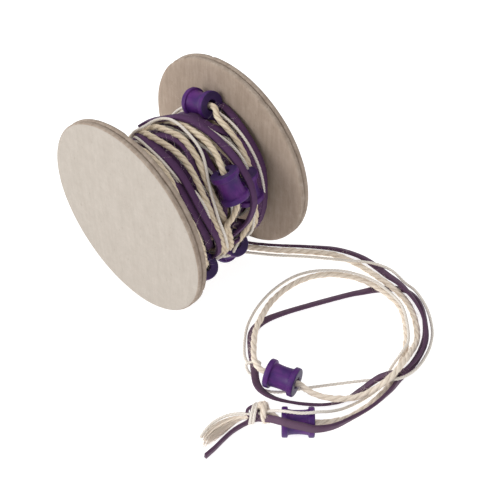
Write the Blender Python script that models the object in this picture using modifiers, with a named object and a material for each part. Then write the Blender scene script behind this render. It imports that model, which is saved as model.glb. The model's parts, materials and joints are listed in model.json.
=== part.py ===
"""A cardboard spool of decorative craft cord.

Two double-ply card discs sit on a card tube.  Three cords are wound between them side by
side: a twisted jute cord, a flat suede lace and a thin waxed cotton cord.  Dyed wooden
spool-shaped beads are threaded on the jute.  The free ends of the three cords lie on the
table in a loop of two rounds, with two more beads on the jute, and end in one common knot
with short tails.

Frame: +X along the spool's axis, +Z up, origin on the table under the spool's centre.
Routes are written in millimetres, everything that is built is in metres.
"""

import math

import bmesh
import bpy
from mathutils import Matrix, Vector

MM = 0.001
GAP = 0.0003                    # air between neighbouring pieces

# Spool
DISC_RADIUS = 0.040
PLY_THICKNESS = 0.00195
INNER_WIDTH = 0.048             # between the two discs
CORE_RADIUS = 0.012
CORE_WALL = 0.0018
DISC_SIDES = 72
RING_SIDES = 48
AXIS_Z = DISC_RADIUS            # the spool stands on the rims of its discs

# Winding: one solid for each cord, nested from the core outwards
COTTON_RING_RADIUS = 0.0146
LACE_RING_RADIUS = 0.0174
WINDING_HALF_WIDTH = 0.0234
JUTE_STEPS = (                  # outer radius of the jute winding, from the near disc on
    (-0.0234, 0.0246), (-0.0080, 0.0250), (-0.0050, 0.0212),
    (0.0100, 0.0208), (0.0120, 0.0192), (0.0234, 0.0190),
)

# Cords
JUTE_RADIUS = 0.0013
COTTON_RADIUS = 0.0006
LACE_WIDTH = 0.0028
LACE_THICKNESS = 0.0011
ROUTE_SAMPLES = 78              # points on one free cord's tube
BEND_WEIGHT = 6.0               # a radian of bend counts as this many mm when they are spread

# Wooden beads, each a small spool
BEAD_LENGTH = 0.0117
BEAD_RADIUS = 0.0055
BEAD_WAIST_RADIUS = 0.0041
BEAD_RIM = 0.0022
BEAD_HOLE_RADIUS = 0.0022
BEAD_CHAMFER = 0.0005
BEAD_SIDES = 20

# Beads in the winding: centre in mm and the direction of the hole
WOUND_BEADS = {
    "wound_bead_1": ((17.8, 6.4, 64.8), (0.03, -0.93, 0.36)),
    "wound_bead_2": ((0.2, -26.8, 56.3), (0.06, -0.50, -0.86)),
    "wound_bead_3": ((10.3, -25.0, 47.9), (0.04, -0.30, -0.95)),
    "wound_bead_4": ((5.0, -20.9, 17.0), (0.0, 0.61, -0.79)),
    "wound_bead_5": ((-11.5, -21.5, 16.8), (0.0, 0.58, -0.81)),
}
SPAN_REACH = 36.0               # degrees of winding on each side of a bead's cord
SPAN_CLEARANCE = 0.0018         # cord centre above the winding where the span lands

# Beads on the free loop
LOOP_BEADS = {
    "loop_bead_1": ((-20.9, -75.0, 7.3), (0.345, -0.939, 0.0)),
    "loop_bead_2": ((-30.05, -91.7, 5.5), (0.705, -0.709, 0.0)),
}

# Free cords, from where they leave the winding to the knot: x, y, z in mm
JUTE_ROUTE = (
    (5, 9, 18.6), (8, 2.5, 12.5), (12, -4.5, 5.5), (15.5, -10.4, 2.3), (18.9, -14.7, 1.7),
    (26.7, -25, 1.7), (36.7, -36.3, 1.5), (42.3, -44.5, 1.4), (44.5, -54.1, 1.4),
    (44.4, -63.9, 2.3), (43.7, -72.2, 3.1), (43.3, -80.1, 1.4), (38.5, -88.2, 1.5),
    (31.9, -94.8, 1.6), (23.7, -98.4, 3.8), (13.6, -101.4, 7.0), (5.4, -102.3, 7.1),
    (-1.9, -100.4, 4.9), (-9.0, -97.2, 4.8), (-14.4, -91.6, 4.9), (-17.5, -86.2, 5.9),
    (-18.7, -81.0, 7.2), (-20.9, -75.0, 7.3), (-23.1, -69.0, 7.2), (-23.7, -65.1, 7.4),
    (-19.8, -59.2, 6.3), (-11.1, -51.1, 3.9), (-2.2, -46.3, 3), (6.1, -43, 1.4),
    (15.7, -42.4, 1.5), (25.1, -44.4, 1.4), (32.6, -49.3, 1.5), (37.6, -56.2, 1.4),
    (39.2, -64.2, 2.8), (39.6, -72.5, 3.1), (39.5, -79.5, 1.4), (34.5, -86.7, 1.4),
    (26.3, -94, 1.4), (16.9, -99, 1.4), (7.2, -102, 1.4), (-3.2, -102.8, 1.5),
    (-13.7, -101.3, 1.9), (-20.2, -99.3, 3.6), (-25.6, -96.2, 5.4), (-30.05, -91.7, 5.5),
    (-34.1, -87.3, 5.4), (-33.9, -82.4, 4.9),
)
COTTON_ROUTE = (
    (2, 8, 18.9), (4.5, 1.5, 12.5), (8, -4.5, 5.5), (12.5, -10.5, 1.5), (17.8, -16.9, 0.8),
    (24.8, -26.2, 0.9), (33.3, -35.8, 0.9), (39, -43.2, 1), (41.2, -49.7, 3.4),
    (44.7, -54.2, 3.6), (48.3, -59.9, 3.6), (50.4, -66.3, 3.0), (50.5, -73, 1.2),
    (48.9, -79.4, 2.9), (46.2, -86.5, 2.8), (42.4, -92.5, 2.2), (37.7, -97.5, 0.9),
    (30.5, -101.5, 1.2), (22, -103.9, 1.8), (14.1, -104.6, 4.0), (8.8, -102.7, 4.6),
    (7.4, -98.3, 1.6), (3.1, -93.6, 0.7), (-5.5, -87.3, 0.7), (-15.1, -80.5, 0.7),
    (-22.7, -75.4, 0.7), (-26.1, -70.1, 0.7), (-24.6, -63.7, 0.7), (-24.3, -60.6, 1.2),
    (-23.5, -59.0, 3.0), (-21.9, -60.2, 4.0), (-20.1, -61.4, 3.8), (-19.2, -61.9, 2.4),
    (-19.9, -61.1, 0.9), (-21.2, -58.4, 0.7), (-20.4, -55.2, 0.7), (-16.2, -50.5, 0.7), (-9.3, -45, 0.7), (-0.5, -41.1, 0.7),
    (9, -39.1, 0.8), (17.9, -39, 0.7), (23.8, -41.5, 2.3), (29, -46.2, 4), (35.2, -52.2, 3.8),
    (38.7, -59.3, 4.2), (39.3, -67.2, 5.8), (39.6, -74.7, 4.9), (38.5, -81.4, 3.8),
    (33.3, -88.4, 3.8), (26.9, -94.3, 3.8), (20.7, -96.2, 3.7), (14.5, -96.9, 1.1),
    (6.8, -99.6, 0.8), (-2.3, -99.3, 0.8), (-10.4, -97.6, 1.2), (-18.3, -97.3, 6.2),
    (-24.8, -96.7, 11.4), (-30.3, -93.3, 12.7), (-33.9, -88.2, 12.3), (-34.6, -82.6, 7.6),
)
# The lace's fourth number is its roll in degrees: 0 lies flat, 90 stands on edge
LACE_ROUTE = (
    (10, 8, 18.2, 0), (13, 2, 12.3, 15), (16.4, -3.6, 6.2, 30), (19.5, -9.6, 2.6, 42),
    (21.9, -14.2, 1.5, 46), (28.5, -22.8, 1.5, 46), (38.2, -33.7, 1.5, 40),
    (44.8, -42.3, 1.4, 33), (48.4, -51.1, 1.3, 26), (48.9, -59.2, 1.2, 10),
    (47.2, -66.6, 3.1, 4), (45.8, -74.3, 4.9, 22), (44.3, -82.5, 3.9, 48),
    (40.3, -90.4, 3.4, 74), (33.6, -97.2, 3.3, 90), (25.8, -101.2, 3.3, 100),
    (17, -102.1, 3.5, 118), (10.6, -100.5, 4.9, 150), (5.7, -98.2, 4.3, 160),
    (-0.1, -96.1, 1.2, 150), (-9.1, -95, 1.6, 130), (-16.2, -90.7, 1.6, 124),
    (-22.6, -83.3, 1.7, 124), (-27.3, -75.8, 2.6, 140), (-27.2, -68.6, 2.6, 160),
    (-21.8, -61.3, 2.7, 180), (-16.5, -54.6, 1.7, 180), (-10.4, -48.8, 1, 183),
    (-3.6, -47.5, 0.9, 190), (5.2, -50.2, 1.6, 250), (17.9, -55.8, 1.6, 253),
    (29.6, -61.4, 1.6, 248), (35, -64.4, 1.3, 218), (40.1, -67.2, 0.8, 185),
    (46.0, -72.8, 0.8, 180), (47.8, -78.7, 0.8, 180), (45.8, -85.0, 0.8, 180),
    (41, -91, 0.8, 180), (33.6, -97.3, 0.8, 180), (23.9, -101, 0.9, 190),
    (13.2, -102.5, 1.6, 250), (5, -104.7, 3.8, 275), (-5.4, -104.8, 3.9, 290),
    (-15.4, -103.3, 4.6, 286), (-23.3, -102.3, 6.8, 272), (-29.8, -99.6, 9, 252),
    (-33, -96.2, 10.3, 236), (-35.4, -92.6, 10.6, 227), (-36.7, -89.9, 10.7, 225),
    (-36.4, -86.0, 7.6, 220), (-36.8, -82.7, 5.5, 228),
)

# Knot and the tails beyond it
KNOT_CENTRE = (-36.7, -78.2, 4.2)
KNOT_AXIS = (-0.71, 0.68, -0.18)
KNOT_SIZE = (0.0082, 0.0078, 0.0076)
JUTE_TAIL_ROUTE = (
    (-40.1, -74.7, 4.1), (-42.1, -72.9, 3.4), (-44.7, -71.6, 2.7),
    (-47.9, -71.0, 2.2), (-52.3, -71.1, 2.1), (-57.3, -72.0, 2.2),
)
JUTE_TAIL_FLARE = 1.6           # the frayed end is this much wider than the cord
LACE_TAIL_ROUTE = (
    (-41.4, -77.4, 2, 284), (-43.8, -76.6, 1.6, 282), (-47.5, -76.2, 1.6, 281),
    (-51.8, -76.4, 1.6, 280), (-56.5, -76.9, 1.6, 278), (-61.4, -77.1, 1.6, 276),
)
COTTON_TAIL_ROUTE = (
    (-38.9, -74.1, 6.4), (-41.0, -71.2, 5.3), (-45.0, -69.0, 3.2),
    (-50.3, -67.9, 1.4), (-56.8, -69.3, 0.8),
)
TAIL_SAMPLES = 12

# Materials: base colour, roughness, metallic
MATERIALS = {
    "card": ((0.56, 0.49, 0.42), 0.85, 0.0),
    "dyed_wood": ((0.075, 0.025, 0.16), 0.55, 0.0),
    "jute": ((0.74, 0.66, 0.53), 0.9, 0.0),
    "suede": ((0.11, 0.05, 0.115), 0.8, 0.0),
    "cotton": ((0.72, 0.69, 0.63), 0.5, 0.0),
}


def clear_scene():
    for item in list(bpy.data.objects):
        bpy.data.objects.remove(item, do_unlink=True)


def make_material(name):
    colour, roughness, metallic = MATERIALS[name]
    material = bpy.data.materials.new(name)
    material.use_nodes = True
    shader = material.node_tree.nodes["Principled BSDF"]
    shader.inputs["Base Color"].default_value = (*colour, 1.0)
    shader.inputs["Roughness"].default_value = roughness
    shader.inputs["Metallic"].default_value = metallic
    return material


def mm(point):
    return Vector(point[:3]) * MM


def place_along(axis, centre):
    """World matrix that takes local +Z to an axis and the origin to a centre."""
    turn = Vector(axis).normalized().to_track_quat("Z", "Y").to_matrix().to_4x4()
    return Matrix.Translation(centre) @ turn


def add_object(name, data, material):
    item = bpy.data.objects.new(name, data)
    data.materials.append(materials[material])
    collection.objects.link(item)
    return item


def turned(name, profile, sides, material, matrix):
    """A closed profile of (radius, height) points, turned about local Z."""
    mesh = bpy.data.meshes.new(name)
    outline = bmesh.new()
    corners = [outline.verts.new((radius, 0.0, height)) for radius, height in profile]
    for index, corner in enumerate(corners):
        outline.edges.new((corner, corners[(index + 1) % len(corners)]))
    outline.to_mesh(mesh)
    outline.free()
    item = add_object(name, mesh, material)
    screw = item.modifiers.new("Screw", "SCREW")
    screw.axis = "Z"
    screw.steps = sides
    screw.render_steps = sides
    screw.use_merge_vertices = True
    screw.merge_threshold = 0.00001
    screw.use_smooth_shade = True
    item.matrix_world = matrix
    return item


def disc(name, x_low, x_high, hole_radius):
    """One ply of a flange between two planes across the spool's axis."""
    centre = Vector(((x_low + x_high) / 2, 0.0, AXIS_Z))
    matrix = place_along((1, 0, 0), centre)
    half = (x_high - x_low) / 2
    if hole_radius:
        profile = [
            (DISC_RADIUS, half), (DISC_RADIUS, -half), (hole_radius, -half), (hole_radius, half),
        ]
        return turned(name, profile, DISC_SIDES, "card", matrix)
    mesh = bpy.data.meshes.new(name)
    shape = bmesh.new()
    bmesh.ops.create_cone(
        shape, cap_ends=True, segments=DISC_SIDES,
        radius1=DISC_RADIUS, radius2=DISC_RADIUS, depth=2 * half,
    )
    shape.to_mesh(mesh)
    shape.free()
    item = add_object(name, mesh, "card")
    item.matrix_world = matrix
    return item


def ring(name, inner, steps, material):
    """A wound cord as one solid: a turned ring with a stepped outer outline."""
    outer = [(radius, height) for height, radius in reversed(steps)]
    profile = outer + [(inner, steps[0][0]), (inner, steps[-1][0])]
    matrix = place_along((1, 0, 0), Vector((0.0, 0.0, AXIS_Z)))
    return turned(name, profile, RING_SIDES, material, matrix)


def bead(name, centre, axis):
    """A wooden spool bead: two rims, a hollowed waist and a hole along its axis."""
    end = BEAD_LENGTH / 2
    inside = end - BEAD_RIM
    cut = BEAD_CHAMFER
    half = [
        (BEAD_RADIUS - cut, end), (BEAD_RADIUS, end - cut), (BEAD_RADIUS, inside + cut),
        (BEAD_RADIUS - cut, inside), (BEAD_WAIST_RADIUS + cut, inside - 0.2 * cut),
        (BEAD_WAIST_RADIUS, inside - 1.6 * cut),
    ]
    mirrored = [(radius, -height) for radius, height in reversed(half)]
    profile = half + mirrored + [(BEAD_HOLE_RADIUS, -end), (BEAD_HOLE_RADIUS, end)]
    return turned(name, profile, BEAD_SIDES, "dyed_wood", place_along(axis, mm(centre)))


def smooth_route(route, samples):
    """Points on the Catmull-Rom curve through a route, closer together in tight bends."""
    points = [Vector(point) for point in route]
    points = [2 * points[0] - points[1]] + points + [2 * points[-1] - points[-2]]
    fine = []
    for index in range(1, len(points) - 2):
        before, start, end, after = points[index - 1:index + 3]
        for step in range(8):
            t = step / 8
            fine.append(0.5 * (
                2 * start + (end - before) * t
                + (2 * before - 5 * start + 4 * end - after) * t ** 2
                + (3 * start - before - 3 * end + after) * t ** 3
            ))
    fine.append(points[-2])
    lengths = [0.0]
    for index, (first, second) in enumerate(zip(fine, fine[1:])):
        step = second.xyz - first.xyz
        bend = step.angle(fine[index + 2].xyz - second.xyz) if index + 2 < len(fine) else 0.0
        lengths.append(lengths[-1] + step.length + BEND_WEIGHT * bend)
    chosen = []
    here = 0
    for number in range(samples):
        target = lengths[-1] * number / (samples - 1)
        while here < len(fine) - 2 and lengths[here + 1] < target:
            here += 1
        share = (target - lengths[here]) / (lengths[here + 1] - lengths[here])
        chosen.append(fine[here].lerp(fine[here + 1], min(share, 1.0)))
    return chosen


def tube(name, points, radius, material, flare=1.0):
    """A round cord as a bevelled curve; flare widens its far end."""
    data = bpy.data.curves.new(name, "CURVE")
    data.dimensions = "3D"
    data.bevel_depth = radius
    data.bevel_resolution = 2
    data.use_fill_caps = True
    spline = data.splines.new("POLY")
    spline.points.add(len(points) - 1)
    for index, (target, point) in enumerate(zip(spline.points, points)):
        target.co = (*mm(point), 1.0)
        target.radius = 1.0 + (flare - 1.0) * index / (len(points) - 1)
    return add_object(name, data, material)


def ribbon(name, points, material):
    """A flat lace: a bevelled, extruded curve rolled by each point's fourth number."""
    data = bpy.data.curves.new(name, "CURVE")
    data.dimensions = "3D"
    data.twist_mode = "Z_UP"
    data.bevel_depth = LACE_THICKNESS / 2
    data.bevel_resolution = 1
    data.extrude = (LACE_WIDTH - LACE_THICKNESS) / 2
    data.use_fill_caps = True
    spline = data.splines.new("POLY")
    spline.points.add(len(points) - 1)
    for target, point in zip(spline.points, points):
        target.co = (*mm(point), 1.0)
        target.tilt = math.radians(90.0 - point[3])
    return add_object(name, data, material)


def jute_radius_at(x):
    """Outer radius of the jute winding at one place along the spool."""
    for (x_low, low), (x_high, high) in zip(JUTE_STEPS, JUTE_STEPS[1:]):
        if x <= x_high:
            share = max(0.0, (x - x_low) / (x_high - x_low))
            return low + share * (high - low)
    return JUTE_STEPS[-1][1]


def span_route(centre, axis):
    """The jute through a wound bead: off the winding, through the hole and back, in mm."""
    middle = Vector(centre)
    along = Vector(axis).normalized()
    angle = math.atan2(-middle.y, middle.z - AXIS_Z / MM)
    landing = (jute_radius_at(middle.x * MM) + SPAN_CLEARANCE) / MM
    bead_radius = math.hypot(middle.y, middle.z - AXIS_Z / MM)

    def on_winding(offset, radius):
        turn = angle + math.radians(offset)
        return Vector((middle.x, -radius * math.sin(turn), AXIS_Z / MM + radius * math.cos(turn)))

    halfway = landing + 0.45 * (bead_radius - landing)
    reach = 0.56 * BEAD_LENGTH / MM
    return [
        on_winding(-SPAN_REACH, landing), on_winding(-0.72 * SPAN_REACH, halfway),
        middle - along * reach, middle, middle + along * reach,
        on_winding(0.72 * SPAN_REACH, halfway), on_winding(SPAN_REACH, landing),
    ]


def make_spool():
    half = INNER_WIDTH / 2
    inner_edge = half + PLY_THICKNESS
    outer_start = inner_edge + GAP
    outer_edge = outer_start + PLY_THICKNESS
    hole = CORE_RADIUS + GAP
    disc("near_flange_outer_ply", -outer_edge, -outer_start, 0.0)
    disc("near_flange_inner_ply", -inner_edge, -half, hole)
    disc("far_flange_inner_ply", half, inner_edge, hole)
    disc("far_flange_outer_ply", outer_start, outer_edge, 0.0)
    tube_end = inner_edge
    profile = [
        (CORE_RADIUS, tube_end), (CORE_RADIUS, -tube_end),
        (CORE_RADIUS - CORE_WALL, -tube_end), (CORE_RADIUS - CORE_WALL, tube_end),
    ]
    matrix = place_along((1, 0, 0), Vector((0.0, 0.0, AXIS_Z)))
    turned("core_tube", profile, RING_SIDES, "card", matrix)


def make_winding():
    edge = WINDING_HALF_WIDTH
    inner = CORE_RADIUS + GAP
    for name, outer, material in (
        ("cotton_winding", COTTON_RING_RADIUS, "cotton"),
        ("lace_winding", LACE_RING_RADIUS, "suede"),
    ):
        ring(name, inner, ((-edge, outer), (edge, outer)), material)
        inner = outer + GAP
    ring("jute_winding", inner, JUTE_STEPS, "jute")


def make_beads():
    for name, (centre, axis) in WOUND_BEADS.items():
        bead(name, centre, axis)
        span = smooth_route(span_route(centre, axis), 16)
        tube(name.replace("bead", "cord"), span, JUTE_RADIUS, "jute")
    for name, (centre, axis) in LOOP_BEADS.items():
        bead(name, centre, axis)


def make_free_cords():
    tube("jute_cord", smooth_route(JUTE_ROUTE, ROUTE_SAMPLES), JUTE_RADIUS, "jute")
    tube("cotton_cord", smooth_route(COTTON_ROUTE, ROUTE_SAMPLES), COTTON_RADIUS, "cotton")
    ribbon("suede_lace", smooth_route(LACE_ROUTE, ROUTE_SAMPLES), "suede")
    tail = smooth_route(JUTE_TAIL_ROUTE, TAIL_SAMPLES)
    tube("jute_tail", tail, JUTE_RADIUS, "jute", JUTE_TAIL_FLARE)
    tube("cotton_tail", smooth_route(COTTON_TAIL_ROUTE, TAIL_SAMPLES), COTTON_RADIUS, "cotton")
    ribbon("lace_tail", smooth_route(LACE_TAIL_ROUTE, TAIL_SAMPLES), "suede")


def make_knot():
    """The common knot, a rounded lump the size of the tied cords."""
    mesh = bpy.data.meshes.new("end_knot")
    shape = bmesh.new()
    bmesh.ops.create_icosphere(shape, subdivisions=2, radius=0.5)
    length, width, height = KNOT_SIZE
    bmesh.ops.scale(shape, vec=(width, height, length), verts=shape.verts)
    shape.to_mesh(mesh)
    shape.free()
    knot = add_object("end_knot", mesh, "jute")
    knot.matrix_world = place_along(KNOT_AXIS, mm(KNOT_CENTRE))


clear_scene()
collection = bpy.data.collections.new("cord_spool")
bpy.context.scene.collection.children.link(collection)
materials = {name: make_material(name) for name in MATERIALS}
make_spool()
make_winding()
make_beads()
make_free_cords()
make_knot()
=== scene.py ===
"""The looks of the cord spool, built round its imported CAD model.

The card discs, the wooden beads and every strand of cord are made here as detailed meshes
that stand for the plain CAD solids.  Routes are in millimetres in the model's own frame:
+X runs along the spool from the near disc to the far disc, +Z is up and the spool's axis
lies AXIS_Z above the table.
"""

import json
import math

import bpy
import numpy as np
from mathutils import Matrix, Vector


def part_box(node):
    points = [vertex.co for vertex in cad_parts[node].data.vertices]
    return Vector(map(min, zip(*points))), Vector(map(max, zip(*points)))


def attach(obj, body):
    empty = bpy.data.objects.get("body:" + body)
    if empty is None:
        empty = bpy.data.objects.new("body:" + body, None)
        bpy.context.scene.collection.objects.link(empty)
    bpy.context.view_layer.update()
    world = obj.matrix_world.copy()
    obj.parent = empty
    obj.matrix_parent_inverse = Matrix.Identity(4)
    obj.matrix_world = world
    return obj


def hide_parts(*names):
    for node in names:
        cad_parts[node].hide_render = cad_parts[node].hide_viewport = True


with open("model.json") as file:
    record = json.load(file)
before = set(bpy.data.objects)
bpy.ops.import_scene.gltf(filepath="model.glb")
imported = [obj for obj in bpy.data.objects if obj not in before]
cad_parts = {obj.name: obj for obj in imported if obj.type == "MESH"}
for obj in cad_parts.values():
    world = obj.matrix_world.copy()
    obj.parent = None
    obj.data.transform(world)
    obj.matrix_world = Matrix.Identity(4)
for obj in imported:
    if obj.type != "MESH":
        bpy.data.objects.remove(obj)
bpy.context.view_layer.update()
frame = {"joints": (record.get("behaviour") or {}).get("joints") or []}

MM = 0.001
AXIS_Z = 40.0                   # height of the spool's axis
TABLE_GAP = 0.03                # no strand comes closer to the table than this

# Cord sizes in mm
JUTE_RADIUS = 1.2
JUTE_PITCH = 11.5               # length in which the plies turn once
JUTE = (JUTE_RADIUS, JUTE_PITCH)
PACKED_JUTE = (JUTE_RADIUS + 0.25, JUTE_PITCH)     # thicker, so that the core doesn't show
COTTON = (0.62, 3.8)            # radius and pitch
PLIES = 3
ROUNDNESS = 0.66                # 0 leaves the grooves between the plies open, 1 fills them
LACE_WIDTH = 2.8
WOUND_LACE_WIDTH = 2.9          # pulled flat round the spool
LACE_THICKNESS = 1.1

# Card discs and core tube in mm
DISC_SIDES = 240
PLY_OVERLAP = 0.11              # each ply swells this far into the gap between the two
FAR_DISC_RISE = 0.45            # half the extra height of the far disc, which isn't quite round
FACE_ROWS = (2.0, 9.0, 17.0, 25.0, 32.0, 36.5, 38.6)    # radii of a face's rings of points
CORE_WALL = 1.8
CORE_EDGE = 0.2                 # bevel at the ends of the core tube

# Dense inner coils of each cord: radius, first x, last x, number of turns
PACKED_JUTE_COILS = ((14.6, -21.8, 21.8, 15), (17.4, 21.6, -21.6, 15))
JUTE_COIL = (20.3, -21.4, 21.4, 12.3)
LACE_COIL = (22.3, 20.8, -20.4, 8.4)
COTTON_COIL = (22.9, -20.8, 21.2, 7.6)

# Loose fibres: radius in mm, and the angles of a hair's three corners in radians
FINE_HAIR = 0.024
HAIR_CORNERS = (0.0, 2.094, 4.189)

# Looks: colours in linear light, then what the material's maker takes after them
CARDS = {
    "card_face": ((0.465, 0.42, 0.372), (0.415, 0.37, 0.325), (0.31, 0.27, 0.225), 0.18),
    "card_inside": ((0.43, 0.345, 0.28), (0.37, 0.29, 0.23), (0.24, 0.18, 0.135), 0.34),
    "card_edge": ((0.45, 0.375, 0.31), (0.32, 0.25, 0.20), (0.15, 0.11, 0.08), 0.3),
}
WOODS = {
    "wood_side": ((0.045, 0.008, 0.115), (0.085, 0.012, 0.150), (0.120, 0.020, 0.185), True),
    "wood_end": ((0.028, 0.011, 0.072), (0.040, 0.015, 0.098), (0.055, 0.020, 0.125), False),
}
JUTE_LAY = (0.06, 34.0, 0.00016)    # lean, streaks and bump
# Cord colours: light and middle fibre tones, then the painted shade in the grooves between the plies
# and its strength; then lean, streaks, bump and roughness.
CORDS = {
    # Painted light: the loose jute is a paler copy of the wound jute, used for the free cord and the
    # knot.
    "jute_loose_lit": ((0.93, 0.835, 0.715), (0.76, 0.64, 0.52), (0.44, 0.33, 0.235), 0.45, *JUTE_LAY),
    "jute_wound": ((0.82, 0.71, 0.545), (0.62, 0.49, 0.34), (0.30, 0.20, 0.12), 0.45, *JUTE_LAY),
    # Painted shade: a much darker copy of the jute for the inner coils buried in the winding.
    "jute_deep": ((0.50, 0.39, 0.26), (0.33, 0.235, 0.14), (0.12, 0.075, 0.04), 0.6, *JUTE_LAY),
    "waxed_cotton": ((0.82, 0.765, 0.695), (0.72, 0.655, 0.58), (0.46, 0.41, 0.345),
                     0.4, 0.1, 18.0, 0.00005, 0.6),
}
SUEDES = {
    # Painted shade and light: suede is darkened for the wound lace between the turns, and
    # suede_loose_lit is a paler copy for the loose lace.
    "suede": ((0.050, 0.020, 0.058), (0.082, 0.031, 0.098), (0.14, 0.065, 0.155)),
    "suede_loose_lit": ((0.074, 0.038, 0.067), (0.102, 0.051, 0.097), (0.19, 0.12, 0.175)),
}
HAIR_COLOUR = (0.90, 0.80, 0.70)

# Free cords, from where they leave the winding to the knot: x, y, z in mm
JUTE_ROUTE = (
    (5, 9, 18.6), (8, 2.5, 12.5), (12, -4.5, 5.5), (15.5, -10.4, 2.3), (18.9, -14.7, 1.7),
    (26.7, -25, 1.7), (36.7, -36.3, 1.5), (42.3, -44.5, 1.4), (44.5, -54.1, 1.4),
    (44.4, -63.9, 2.3), (43.7, -72.2, 3.1), (43.3, -80.1, 1.4), (38.5, -88.2, 1.5),
    (31.9, -94.8, 1.6), (23.7, -98.4, 3.8), (13.6, -101.4, 7.0), (5.4, -102.3, 7.1),
    (-1.9, -100.4, 4.9), (-9.0, -97.2, 4.8), (-14.4, -91.6, 4.9), (-17.5, -86.2, 5.9),
    (-18.7, -81.0, 7.2), (-20.9, -75.0, 7.3), (-23.1, -69.0, 7.2), (-23.7, -65.1, 7.4),
    (-19.8, -59.2, 6.3), (-11.1, -51.1, 3.9), (-2.2, -46.3, 3), (6.1, -43, 1.4),
    (15.7, -42.4, 1.5), (25.1, -44.4, 1.4), (32.6, -49.3, 1.5), (37.6, -56.2, 1.4),
    (39.2, -64.2, 2.8), (39.6, -72.5, 3.1), (39.5, -79.5, 1.4), (34.5, -86.7, 1.4),
    (26.3, -94, 1.4), (16.9, -99, 1.4), (7.2, -102, 1.4), (-3.2, -102.8, 1.5),
    (-13.7, -101.3, 1.9), (-20.2, -99.3, 3.6), (-25.6, -96.2, 5.4), (-30.05, -91.7, 5.5),
    (-34.1, -87.3, 5.4), (-33.9, -82.4, 4.9),
)
JUTE_TAIL = (
    (-36.9, -79.3, 4.4), (-40.0, -76.9, 3.7), (-42.5, -74.6, 3.2), (-45.6, -72.8, 2.9),
    (-49.0, -71.6, 2.3), (-52.6, -71.2, 1.9), (-56.2, -71.6, 1.6),
)
COTTON_ROUTE = (
    (2, 8, 18.9), (4.5, 1.5, 12.5), (8, -4.5, 5.5), (12.5, -10.5, 1.5), (17.8, -16.9, 0.8),
    (24.8, -26.2, 0.9), (33.3, -35.8, 0.9), (39, -43.2, 1), (41.2, -49.7, 3.4),
    (44.7, -54.2, 3.6), (48.3, -59.9, 3.6), (50.4, -66.3, 3.0), (50.5, -73, 1.2),
    (48.9, -79.4, 2.9), (46.2, -86.5, 2.8), (42.4, -92.5, 2.2), (37.7, -97.5, 0.9),
    (30.5, -101.5, 1.2), (22, -103.9, 1.8), (14.1, -104.6, 4.0), (8.8, -102.7, 4.6),
    (7.4, -98.3, 1.6), (3.1, -93.6, 0.7), (-5.5, -87.3, 0.7), (-15.1, -80.5, 0.7),
    (-22.7, -75.4, 0.7), (-26.1, -70.1, 0.7), (-24.6, -63.7, 0.7), (-24.3, -60.6, 1.2),
    (-23.5, -59.0, 3.0), (-21.9, -60.2, 4.0), (-20.1, -61.4, 3.8), (-19.2, -61.9, 2.4),
    (-19.9, -61.1, 0.9), (-21.2, -58.4, 0.7), (-20.4, -55.2, 0.7), (-16.2, -50.5, 0.7),
    (-9.3, -45, 0.7), (-0.5, -41.1, 0.7),
    (9, -39.1, 0.8), (17.9, -39, 0.7), (23.8, -41.5, 2.3), (29, -46.2, 4), (35.2, -52.2, 3.8),
    (38.7, -59.3, 4.2), (39.3, -67.2, 5.8), (39.6, -74.7, 4.9), (38.5, -81.4, 3.8),
    (33.3, -88.4, 3.8), (26.9, -94.3, 3.8), (20.7, -96.2, 3.7), (14.5, -96.9, 1.1),
    (6.8, -99.6, 0.8), (-2.3, -99.3, 0.8), (-10.4, -97.6, 1.2), (-18.3, -97.3, 6.2),
    (-24.8, -96.7, 11.4), (-30.3, -93.3, 12.7), (-33.9, -88.2, 12.3), (-34.6, -82.6, 7.6),
)
COTTON_TAIL = (
    (-37.0, -79.8, 5.4), (-39.3, -77.0, 4.8), (-41.6, -73.9, 4.4), (-45.1, -70.9, 3.6),
    (-49.4, -69.2, 2.6), (-53.2, -69.0, 1.7), (-57.0, -69.8, 0.8),
)
# The lace's fourth number is its roll in degrees: 0 lies flat, 90 stands on edge
LACE_ROUTE = (
    (10, 8, 18.2, 0), (13, 2, 12.3, 15), (16.4, -3.6, 6.2, 30), (19.5, -9.6, 2.6, 42),
    (21.9, -14.2, 1.5, 46), (28.5, -22.8, 1.5, 46), (38.2, -33.7, 1.5, 40),
    (44.8, -42.3, 1.4, 28), (48.4, -51.1, 1.3, 26), (48.9, -59.2, 1.2, 10),
    (47.2, -66.6, 3.1, 6), (45.8, -74.3, 4.9, 28), (44.3, -82.5, 3.9, 56),
    (40.3, -90.4, 3.4, 74), (33.6, -97.2, 3.3, 90), (25.8, -101.2, 3.3, 100),
    (17, -102.1, 3.5, 118), (10.6, -100.5, 4.9, 150), (5.7, -98.2, 4.3, 160),
    (-0.1, -96.1, 1.2, 150), (-9.1, -95, 1.6, 130), (-16.2, -90.7, 1.6, 124),
    (-22.6, -83.3, 1.7, 124), (-27.3, -75.8, 2.6, 140), (-27.2, -68.6, 2.6, 160),
    (-21.8, -61.3, 2.7, 180), (-16.5, -54.6, 1.7, 180), (-10.4, -48.8, 1, 183),
    (-3.6, -47.5, 0.9, 190), (5.2, -50.2, 1.2, 204), (17.9, -55.8, 1.2, 206),
    (29.6, -61.4, 1.2, 204), (35, -64.4, 1.1, 195), (40.1, -67.2, 0.8, 185),
    (46.0, -72.8, 1.0, 196), (47.8, -78.7, 1.3, 218), (45.8, -85.0, 1.5, 235),
    (41, -91, 1.5, 238), (33.6, -97.3, 1.3, 215), (23.9, -101, 0.9, 190),
    (13.2, -102.5, 1.6, 250), (5, -104.7, 3.8, 275), (-5.4, -104.8, 3.9, 290),
    (-15.4, -103.3, 4.6, 286), (-23.3, -102.3, 6.8, 272), (-29.8, -99.6, 9, 252),
    (-33, -96.2, 10.3, 236), (-35.4, -92.6, 10.6, 227), (-36.7, -89.9, 10.7, 225),
    (-36.4, -86.0, 7.6, 220), (-36.8, -82.7, 5.5, 228),
)
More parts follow.
